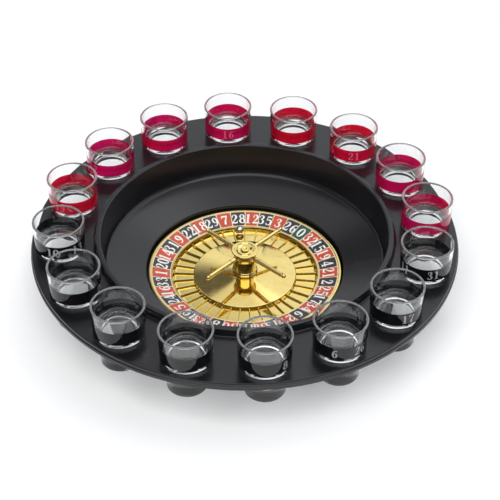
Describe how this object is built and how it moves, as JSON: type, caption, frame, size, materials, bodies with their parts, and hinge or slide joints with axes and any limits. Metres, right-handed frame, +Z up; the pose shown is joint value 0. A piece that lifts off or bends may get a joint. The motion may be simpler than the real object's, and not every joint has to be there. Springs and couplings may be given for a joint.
{
  "type": "roulette wheel",
  "caption": "Round black roulette tray with a sunken bowl, a spinning gold rotor with pockets and a turret with crossed arms, a steel ball, and shot glasses standing in holes round the rim.",
  "frame": {"origin": "on the table under the middle of the tray", "axes": "+Z up along the rotor axis; +Y towards the side where the ball lies at rest"},
  "size_m": [0.29, 0.29, 0.0676],
  "materials": {
    "black_plastic": "black injection-moulded plastic, satin to glossy",
    "gold_plastic": "gold metallised plastic, polished",
    "number_print": "printed film in red, black and green with cream lines and white numerals",
    "clear_glass": "clear polished glass",
    "red_print": "red or magenta printed band, slightly translucent",
    "black_print": "black printed band",
    "white_print": "white printed numerals",
    "steel": "turned steel",
    "ball_steel": "polished steel ball",
    "brass": "turned brass",
    "nylon": "natural nylon",
    "rubber": "matt rubber"
  },
  "bodies": {
    "tray": {"tray": "black_plastic", "rubber_feet": "rubber", "spindle": "steel", "spindle_washer": "steel", "spindle_screw": "steel", "thrust_washer": "nylon", "retaining_clip": "steel"},
    "rotor": {"rotor": "gold_plastic", "number_ring": "number_print", "rotor_cone": "gold_plastic", "rotor_bushing": "brass", "turret_column": "gold_plastic", "turret_cap": "gold_plastic", "finial_screw": "gold_plastic", "turret_arm_1": "gold_plastic", "turret_arm_2": "gold_plastic", "turret_arm_3": "gold_plastic", "turret_arm_4": "gold_plastic"},
    "ball": {"ball": "ball_steel"},
    "glass_01": {"glass_01": "clear_glass"},
    "glass_02": {"glass_02": "clear_glass"},
    "glass_03": {"glass_03": "clear_glass"},
    "glass_04": {"glass_04": "clear_glass"},
    "glass_05": {"glass_05": "clear_glass"},
    "glass_06": {"glass_06": "clear_glass"},
    "glass_07": {"glass_07": "clear_glass"},
    "glass_08": {"glass_08": "clear_glass"},
    "glass_09": {"glass_09": "clear_glass"},
    "glass_10": {"glass_10": "clear_glass"},
    "glass_11": {"glass_11": "clear_glass"},
    "glass_12": {"glass_12": "clear_glass"},
    "glass_13": {"glass_13": "clear_glass"},
    "glass_14": {"glass_14": "clear_glass"},
    "glass_15": {"glass_15": "clear_glass"},
    "glass_16": {"glass_16": "clear_glass"}
  },
  "joints": [
    {"name": "rotor_spin", "type": "hinge", "parent": "tray", "child": "rotor", "pos_m": [0, 0, 0], "axis": [0, 0, 1], "continuous": true},
    {"name": "ball_lift", "type": "slide", "parent": "rotor", "child": "ball", "axis": [0, 0, 1], "range_m": [0, 0.06]},
    {"name": "glass_01_lift", "type": "slide", "parent": "tray", "child": "glass_01", "axis": [0, 0, 1], "range_m": [0, 0.05]},
    {"name": "glass_02_lift", "type": "slide", "parent": "tray", "child": "glass_02", "axis": [0, 0, 1], "range_m": [0, 0.05]},
    {"name": "glass_03_lift", "type": "slide", "parent": "tray", "child": "glass_03", "axis": [0, 0, 1], "range_m": [0, 0.05]},
    {"name": "glass_04_lift", "type": "slide", "parent": "tray", "child": "glass_04", "axis": [0, 0, 1], "range_m": [0, 0.05]},
    {"name": "glass_05_lift", "type": "slide", "parent": "tray", "child": "glass_05", "axis": [0, 0, 1], "range_m": [0, 0.05]},
    {"name": "glass_06_lift", "type": "slide", "parent": "tray", "child": "glass_06", "axis": [0, 0, 1], "range_m": [0, 0.05]},
    {"name": "glass_07_lift", "type": "slide", "parent": "tray", "child": "glass_07", "axis": [0, 0, 1], "range_m": [0, 0.05]},
    {"name": "glass_08_lift", "type": "slide", "parent": "tray", "child": "glass_08", "axis": [0, 0, 1], "range_m": [0, 0.05]},
    {"name": "glass_09_lift", "type": "slide", "parent": "tray", "child": "glass_09", "axis": [0, 0, 1], "range_m": [0, 0.05]},
    {"name": "glass_10_lift", "type": "slide", "parent": "tray", "child": "glass_10", "axis": [0, 0, 1], "range_m": [0, 0.05]},
    {"name": "glass_11_lift", "type": "slide", "parent": "tray", "child": "glass_11", "axis": [0, 0, 1], "range_m": [0, 0.05]},
    {"name": "glass_12_lift", "type": "slide", "parent": "tray", "child": "glass_12", "axis": [0, 0, 1], "range_m": [0, 0.05]},
    {"name": "glass_13_lift", "type": "slide", "parent": "tray", "child": "glass_13", "axis": [0, 0, 1], "range_m": [0, 0.05]},
    {"name": "glass_14_lift", "type": "slide", "parent": "tray", "child": "glass_14", "axis": [0, 0, 1], "range_m": [0, 0.05]},
    {"name": "glass_15_lift", "type": "slide", "parent": "tray", "child": "glass_15", "axis": [0, 0, 1], "range_m": [0, 0.05]},
    {"name": "glass_16_lift", "type": "slide", "parent": "tray", "child": "glass_16", "axis": [0, 0, 1], "range_m": [0, 0.05]}
  ]
}
